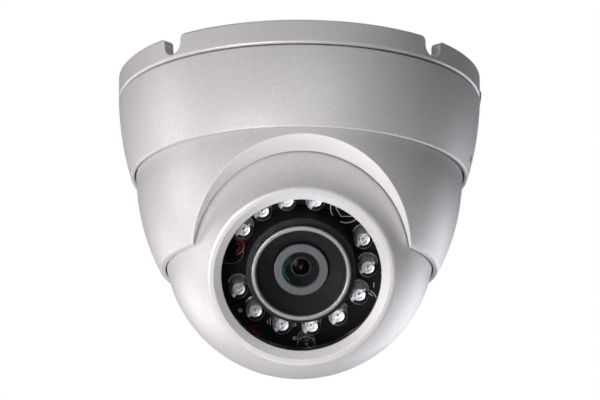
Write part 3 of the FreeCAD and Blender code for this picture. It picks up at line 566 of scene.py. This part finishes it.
def tube(mesh, path, radius, sides=12):
    """A capped round tube along a list of points."""
    rings = []
    for index, point in enumerate(path):
        before = path[max(index - 1, 0)]
        after = path[min(index + 1, len(path) - 1)]
        rotation = (after - before).to_track_quat("Z", "Y").to_matrix()
        rings.append([mesh.verts.new(point + rotation @ offset) for offset in circle_points(radius, sides)])
    for low, high in zip(rings, rings[1:]):
        for side in range(sides):
            following = (side + 1) % sides
            mesh.faces.new((low[side], low[following], high[following], high[side]))
    mesh.faces.new(reversed(rings[0]))
    mesh.faces.new(rings[-1])


# ---------------------------------------------------------------- infrared lamps

def turned_place(centre, angle=0.0):
    """A place on the ball at a centre across the optical axis, turned about it."""
    return BALL @ Matrix.Translation((centre[0], centre[1], 0)) @ Matrix.Rotation(angle, 4, "Z")


def add_block(mesh, place, centre_mm, size_mm, bevel_mm=0.06):
    """A block with softened edges."""
    size = Matrix.Diagonal((*(Vector(size_mm) * MM), 1))
    matrix = place @ Matrix.Translation(Vector(centre_mm) * MM) @ size
    made = bmesh.ops.create_cube(mesh, size=1.0, matrix=matrix)
    edges = list({edge for vertex in made["verts"] for edge in vertex.link_edges})
    bmesh.ops.bevel(mesh, geom=edges, offset=bevel_mm * MM, segments=2, affect="EDGES")


LAMP_RADIUS = 2.45 * MM
LAMP_FLANGE = 0.3 * MM
# each lamp is turned about its own axis by up to this angle, in radians
LAMP_TURN = 0.2
# painted glint lines in a lamp's body, glowing streaks that stand for reflections in the resin: distance from its
# axis, height, and start and end angle in degrees
LAMP_ARCS = [(2.55, 0.7, 10, 170), (2.1, 1.4, 25, 150), (1.8, 2.1, 40, 150), (2.0, 2.8, -35, 70),
             (2.1, 3.6, 60, 130)]


def lamp_body(low, tip):
    """Outline of the clear body: a flanged foot, a straight wall and a dome."""
    flange = LAMP_RADIUS + LAMP_FLANGE
    foot = [(0, low), (flange, low), (flange, low + 0.9 * MM), (LAMP_RADIUS, low + MM)]
    return foot + arc(0, tip - LAMP_RADIUS, LAMP_RADIUS, 0, 90, 12)[:-1] + [(0, tip)]


def lamp_cup(low, floor, rim):
    """Outline of the reflector: a small raised seat on the floor, a flared rim and a stem to the foot."""
    seat = [(0, floor), (0.14 * MM, floor), (0.19 * MM, floor + 0.12 * MM),
            (0.36 * MM, floor + 0.12 * MM), (0.41 * MM, floor), (0.52 * MM, floor)]
    lip = [(0.74 * MM, rim), (1.02 * MM, rim), (1.06 * MM, rim - 0.12 * MM)]
    stem = [(0.75 * MM, rim - 1.2 * MM), (0.35 * MM, low + 0.2 * MM), (0, low + 0.2 * MM)]
    return seat + lip + stem


def add_painted_glint_lines(mesh, place, low, dome_foot):
    """Thin glowing lines in the resin, painted glints that stand for its reflections, turned a little by chance,
    and one round the dome's foot.
    """
    for reach, height, start, end in LAMP_ARCS:
        turn = random.uniform(-12, 12)
        path = arc_points(reach * MM, low + height * MM, start + turn, end + turn, 12)
        tube(mesh, [place @ point for point in path], random.uniform(0.06, 0.1) * MM, 6)
    closed_bead(mesh, place, 2.3 * MM, dome_foot, 0.08 * MM)


def make_lamps():
    """Each lamp: a clear body round a bright reflector cup on its anvil, a die, a post and a bond wire."""
    low, tip = ball_span("ir_leds")
    rim = tip - LAMP_RADIUS - 0.3 * MM
    floor = rim - 0.35 * MM
    foot, top = low / MM + 0.2, rim / MM - 0.15
    bodies, cups, dies, wires, glints = [bmesh.new() for _ in range(5)]
    for centre in island_centres("ir_leds"):
        place = turned_place(centre, random.uniform(-LAMP_TURN, LAMP_TURN))
        lathe(bodies, lamp_body(low, tip), place, 40)
        lathe(cups, lamp_cup(low, floor, rim), place, 32)
        tilted = place @ Matrix.Rotation(math.radians(50), 4, "Z")
        add_block(cups, tilted, (-1.2, 0, (foot + top) / 2), (0.9, 0.55, top - foot))
        add_block(cups, tilted, (1.4, 0, (foot + top + 0.3) / 2), (0.35, 0.5, top - foot + 0.3))
        add_painted_glint_lines(glints, place, low, tip - LAMP_RADIUS)
        add_block(dies, place, (0, 0, floor / MM + 0.06), (0.22, 0.22, 0.12), 0.02)
        loop = [(1.2, 0, top + 0.25), (0.9, 0, top + 0.6), (0.5, 0, top + 0.5), (0.05, 0, floor / MM + 0.14)]
        tube(wires, [tilted @ (Vector(point) * MM) for point in loop], 0.05 * MM, 6)
    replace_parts(piece("ir_lamp_bodies", bodies, EPOXY, "ball"), "ir_leds")
    piece("ir_lamp_cups", cups, CUP_SILVER, "ball")
    piece("ir_lamp_dies", dies, SLOT_LOOKS["chip"], "ball")
    piece("ir_lamp_bond_wires", wires, GOLD, "ball")
    # painted glints: the glowing lines stand for reflections in the lamps' resin
    piece("ir_lamp_painted_glints", glints, LAMP_GLINT, "ball")


SENSOR_RADIUS = 2.35 * MM


def sensor_holder(low, top):
    """Outline of the tinted tube round the sensor's chip, flared inward at its mouth."""
    inner, outer = 0.5 * MM, 1.0 * MM
    foot = low + 0.1 * MM
    return [(inner, foot), (outer, foot), (outer, top - 0.3 * MM), (0.8 * MM, top - 0.1 * MM),
            (inner, top - 0.6 * MM), (inner, foot)]


def make_light_sensor():
    """A clear domed body over a dark chip in a bronze-tinted cup."""
    low, tip = ball_span("light_sensor")
    place = turned_place(island_centres("light_sensor")[0])
    top = tip - SENSOR_RADIUS
    dome, holder, chip, outline = [bmesh.new() for _ in range(4)]
    body = [(0, low), (SENSOR_RADIUS, low)] + arc(0, top, SENSOR_RADIUS, 0, 90, 12)[:-1] + [(0, tip)]
    lathe(dome, body, place, 40)
    lathe(holder, sensor_holder(low, top), place, 32)
    add_block(chip, place, (0, 0, top / MM - 0.7), (0.7, 0.7, 0.4))
    add_block(holder, place, (-0.9, 0.5, top / MM - 0.4), (0.35, 0.25, 0.9))
    add_block(holder, place, (0.7, 0.7, top / MM - 0.4), (0.3, 0.25, 0.9))
    # painted glints: two glowing rings that stand for the light rim of the sensor's dome
    for reach, height in ((2.2, top), (1.5, top - 0.6 * MM)):
        closed_bead(outline, place, reach * MM, height, 0.07 * MM)
    piece("light_sensor_painted_glints", outline, LAMP_GLINT, "ball")
    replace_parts(piece("light_sensor_dome", dome, SENSOR_EPOXY, "ball"), "light_sensor")
    piece("light_sensor_holder", holder, BRONZE, "ball")
    piece("light_sensor_chip", chip, SLOT_LOOKS["chip"], "ball")


# ---------------------------------------------------------------- lens and board details

def add_lens_cap(mesh, place, height, curve, half_width):
    """A shallow domed element: flat behind, a ball's cap of the given curve in front."""
    start = math.degrees(math.acos(half_width / curve))
    centre = height - curve * math.sin(math.radians(start))
    dome = arc(0, centre, curve, start, 90, 10)
    lathe(mesh, [(0, height)] + dome[:-1] + [(0, dome[-1][1])], place, 40)


def make_cover_glass(ring_low):
    """A slightly crowned glass in the lens's front ring."""
    radius = ball_radii("lens_front_ring")[0] - 0.06 * MM
    edge, crown = 0.25 * MM, 0.5 * MM
    angles = [math.radians(9 * step) for step in range(10)]
    front = [(radius * math.cos(a), ring_low + edge + crown * math.sin(a)) for a in angles]
    cover = bmesh.new()
    lathe(cover, [(0, ring_low), (radius, ring_low)] + front + [(0, ring_low + edge + crown)], BALL, 64)
    look = coated_lens("cover_coating", (0.1, 0.4, 0.4), 0.008, 0.1)
    piece("lens_cover_glass", cover, look, "ball")


def make_lens_details():
    """The cover glass, the pupil's edge ring with a painted glow, a painted teal glint arc and two small coated
    elements behind the glass.
    """
    ring_low = ball_span("lens_front_ring")[0]
    front = ball_span("front_element")[1]
    make_cover_glass(ring_low)

    pupil, edge, large, small = [bmesh.new() for _ in range(4)]
    # the ring at the element's edge is real; its faint grey glow is painted light on its lit parts
    flat_ring(pupil, (0, 0), 2.4, 0.12, front + 0.1 * MM, 64)
    piece("pupil_edge_with_painted_glow", pupil, GLOWING_INK_GREY, "ball")
    # painted reflection: a glowing teal arc that stands for a glint on the lens coating
    path = arc_points(4.3 * MM, ring_low - 0.15 * MM, 180, 230, 16)
    tube(edge, [BALL @ point for point in path], 0.14 * MM, 8)
    piece("painted_teal_glint", edge, TEAL_GLINT, "ball")

    seat = front + 0.12 * MM
    add_lens_cap(large, turned_place(Vector((0.25, 0.15)) * MM), seat, 1.1 * MM, 1.0 * MM)
    add_lens_cap(small, turned_place(Vector((-0.35, -0.5)) * MM), seat, 0.7 * MM, 0.6 * MM)
    magenta = coated_lens("magenta_coating", (0.85, 0.3, 0.75), 0.1, 0.12)
    teal = coated_lens("teal_coating", (0.5, 0.6, 0.6), 0.06, 0.12)
    piece("inner_element_large", large, magenta, "ball")
    piece("inner_element_small", small, teal, "ball")


# how thick the printed outlines and strokes are, in millimetres
INK_HEIGHT = 0.03


def flat_ring(mesh, centre, radius, width, height, sides=48):
    """A thin raised outline, round or with few sides, on a plane of the ball."""
    place = turned_place(Vector(centre) * MM)
    inner, outer = (radius - width / 2) * MM, (radius + width / 2) * MM
    top = height + INK_HEIGHT * MM
    lathe(mesh, [(inner, height), (outer, height), (outer, top), (inner, top), (inner, height)], place, sides)


def flat_bar(mesh, start, end, width, height):
    """A thin raised stroke between two points, in millimetres across the optical axis."""
    start, end = Vector(start), Vector(end)
    along = end - start
    place = turned_place((start + end) / 2 * MM, math.atan2(along.y, along.x))
    size = Matrix.Diagonal((along.length * MM, width * MM, INK_HEIGHT * MM, 1))
    matrix = place @ Matrix.Translation((0, 0, height + INK_HEIGHT / 2 * MM)) @ size
    bmesh.ops.create_cube(mesh, size=1.0, matrix=matrix)


# the print on the lamp board, in millimetres across the optical axis
LARGE_MARK = (11.5, 13.4)
SMALL_RINGS = ((-1.1, -21.9), (-1.2, -18.3), (-15.1, -14.5))
TICKS = (((-7.4, -16.4), (-7.4, -18.4)), ((-8.1, -17.0), (-8.1, -18.0)),
         ((-2.6, -17.6), (-1.8, -18.4)), ((17.6, -9.4), (18.6, -10.3)),
         ((18.0, -8.8), (19.1, -9.8)), ((19.2, -9.9), (19.6, -10.8)),
         ((18.9, -6.6), (18.9, -8.0)), ((-12.2, -11.7), (-11.6, -12.4)))
RED_RINGS = ((-10.1, -21.0), (-11.4, -20.9), (-11.9, -19.3))
WIRE_HOLE = (-17.9, 1.7)


def make_board_print():
    """White outlines and marks, a grey ring round the wires' hole and a few red rings."""
    top = ball_span("ir_board")[1] + 0.002 * MM
    white, grey, red = [bmesh.new() for _ in range(3)]
    flat_ring(white, LARGE_MARK, 4.0, 0.24, top, 64)
    flat_ring(white, LARGE_MARK, 2.65, 0.22, top, 6)
    flat_ring(white, LARGE_MARK, 0.25, 0.12, top, 16)
    for centre in SMALL_RINGS:
        flat_ring(white, centre, 0.38, 0.12, top, 20)
    for start, end in TICKS:
        flat_bar(white, start, end, 0.16, top)
    for centre in RED_RINGS:
        flat_ring(red, centre, 0.55, 0.2, top, 24)
    flat_ring(grey, WIRE_HOLE, 3.55, 0.2, top, 48)
    piece("board_print_grey", grey, GLOWING_INK_GREY, "ball")
    piece("board_print_white", white, GLOWING_INK_WHITE, "ball")
    piece("board_print_red", red, GLOWING_INK_RED, "ball")


# ---------------------------------------------------------------- stage, light and camera

FLOOR_REACH = 6.0
FLOOR_DROP = 1.6
FILL_STRENGTH = 0.02


def make_stage():
    """A wide pale floor well below the camera; it looks evenly lit but throws no light of its own."""
    mesh = bmesh.new()
    bmesh.ops.create_grid(mesh, x_segments=1, y_segments=1, size=FLOOR_REACH)
    data = bpy.data.meshes.new("floor")
    mesh.to_mesh(data)
    mesh.free()
    floor = bpy.data.objects.new("floor", data)
    floor.location.z = -FLOOR_DROP
    shader = Shader("pale_floor")
    soft = shader.noise(3.0, detail=2.0)
    base = shader.ramp(soft, [(0.3, 0.80), (0.7, 0.84)])
    lit = shader.principled(Base_Color=base, Roughness=0.8)
    seen = shader.add("ShaderNodeEmission")
    shader.link(base, seen.inputs["Color"])
    by_camera = shader.add("ShaderNodeLightPath").outputs["Is Camera Ray"]
    look = shader.mix(by_camera, lit.outputs["BSDF"], seen.outputs["Emission"])
    data.materials.append(shader.finish(look))
    bpy.context.scene.collection.objects.link(floor)


def make_world():
    """White behind the camera's subject, but only a dim even fill on the subject itself."""
    world = bpy.data.worlds.new("studio")
    bpy.context.scene.world = world
    world.use_nodes = True
    tree = world.node_tree
    tree.nodes.clear()
    output = tree.nodes.new("ShaderNodeOutputWorld")
    seen = tree.nodes.new("ShaderNodeBackground")
    seen.inputs["Color"].default_value = (1, 1, 1, 1)
    fill = tree.nodes.new("ShaderNodeBackground")
    fill.inputs["Color"].default_value = (0.96, 0.98, 1.0, 1)
    fill.inputs["Strength"].default_value = FILL_STRENGTH
    path = tree.nodes.new("ShaderNodeLightPath")
    mix = tree.nodes.new("ShaderNodeMixShader")
    tree.links.new(path.outputs["Is Camera Ray"], mix.inputs["Fac"])
    tree.links.new(fill.outputs["Background"], mix.inputs[1])
    tree.links.new(seen.outputs["Background"], mix.inputs[2])
    tree.links.new(mix.outputs["Shader"], output.inputs["Surface"])


def direction(around, up):
    """From the subject: turned from the camera's side (-Y) round to the right, and upward, in radians."""
    return Vector((math.sin(around) * math.cos(up), -math.cos(around) * math.cos(up), math.sin(up)))


def softbox(name, place, aim, width, height, power, colour):
    """A soft rectangular light aimed at a point and hidden from the camera."""
    data = bpy.data.lights.new(name, "AREA")
    data.shape = "RECTANGLE"
    data.size, data.size_y = width, height
    data.energy = power
    data.color = colour
    lamp = bpy.data.objects.new(name, data)
    lamp.location = place
    lamp.rotation_euler = (aim - place).to_track_quat("-Z", "Y").to_euler()
    lamp.visible_camera = False
    bpy.context.scene.collection.objects.link(lamp)


# name, degrees round from the camera's side (positive to the right), degrees up, width and height in
# metres, watts, colour
LIGHTS = [
    ("key_low_left", -36, -36, 0.55, 0.5, 8.2, (1.0, 0.975, 0.97)),
    ("side_left", -90, -4, 0.35, 0.5, 2.0, (1.0, 0.96, 0.955)),
    ("back_left", -130, -18, 0.4, 0.5, 2.2, (1.0, 0.965, 0.96)),
    ("rim_right", 138, -10, 0.8, 0.5, 4.6, (0.93, 0.955, 1.0)),
    ("under", 170, -78, 0.6, 0.6, 2.8, (0.97, 0.97, 1.0)),
    ("front", 10, -5, 0.5, 0.4, 1.2, (1.0, 0.985, 1.0)),
    ("above", 0, 84, 0.8, 0.8, 3.0, (1.0, 1.0, 1.0)),
]
LIGHT_DISTANCE = 0.9


def make_lights(subject):
    """The lights stand on a ball round the subject."""
    for name, azimuth, elevation, width, height, power, colour in LIGHTS:
        around, up = math.radians(azimuth), math.radians(elevation)
        toward = direction(around, up)
        softbox(name, subject + toward * LIGHT_DISTANCE, subject, width, height, power, colour)


# the photo's own viewpoint: how far the camera stands below the subject and to its left, in degrees,
# its distance in metres and its lens in millimetres
CAMERA_ELEVATION = -17.44
CAMERA_ASIDE = -1.5
CAMERA_DISTANCE = 1.403
CAMERA_LENS = 327.2
CAMERA_SHIFT = 0.001
CAMERA_AIM = Vector((0, 0, -32.9 * MM))


def make_camera():
    """A long lens at the photo's viewing angle."""
    data = bpy.data.cameras.new("photo_camera")
    data.sensor_width = 36.0
    data.lens = CAMERA_LENS
    data.shift_x = CAMERA_SHIFT
    camera = bpy.data.objects.new("photo_camera", data)
    toward = direction(math.radians(CAMERA_ASIDE), math.radians(CAMERA_ELEVATION))
    camera.location = CAMERA_AIM + toward * CAMERA_DISTANCE
    camera.rotation_euler = (CAMERA_AIM - camera.location).to_track_quat("-Z", "Y").to_euler()
    bpy.context.scene.collection.objects.link(camera)
    bpy.context.scene.camera = camera


dress_cad_nodes()
make_lamps()
make_light_sensor()
make_lens_details()
make_board_print()
make_stage()
make_world()
make_lights((Vector(cad_box[0]) + Vector(cad_box[1])) / 2)
make_camera()
bpy.context.scene.view_settings.view_transform = "Standard"
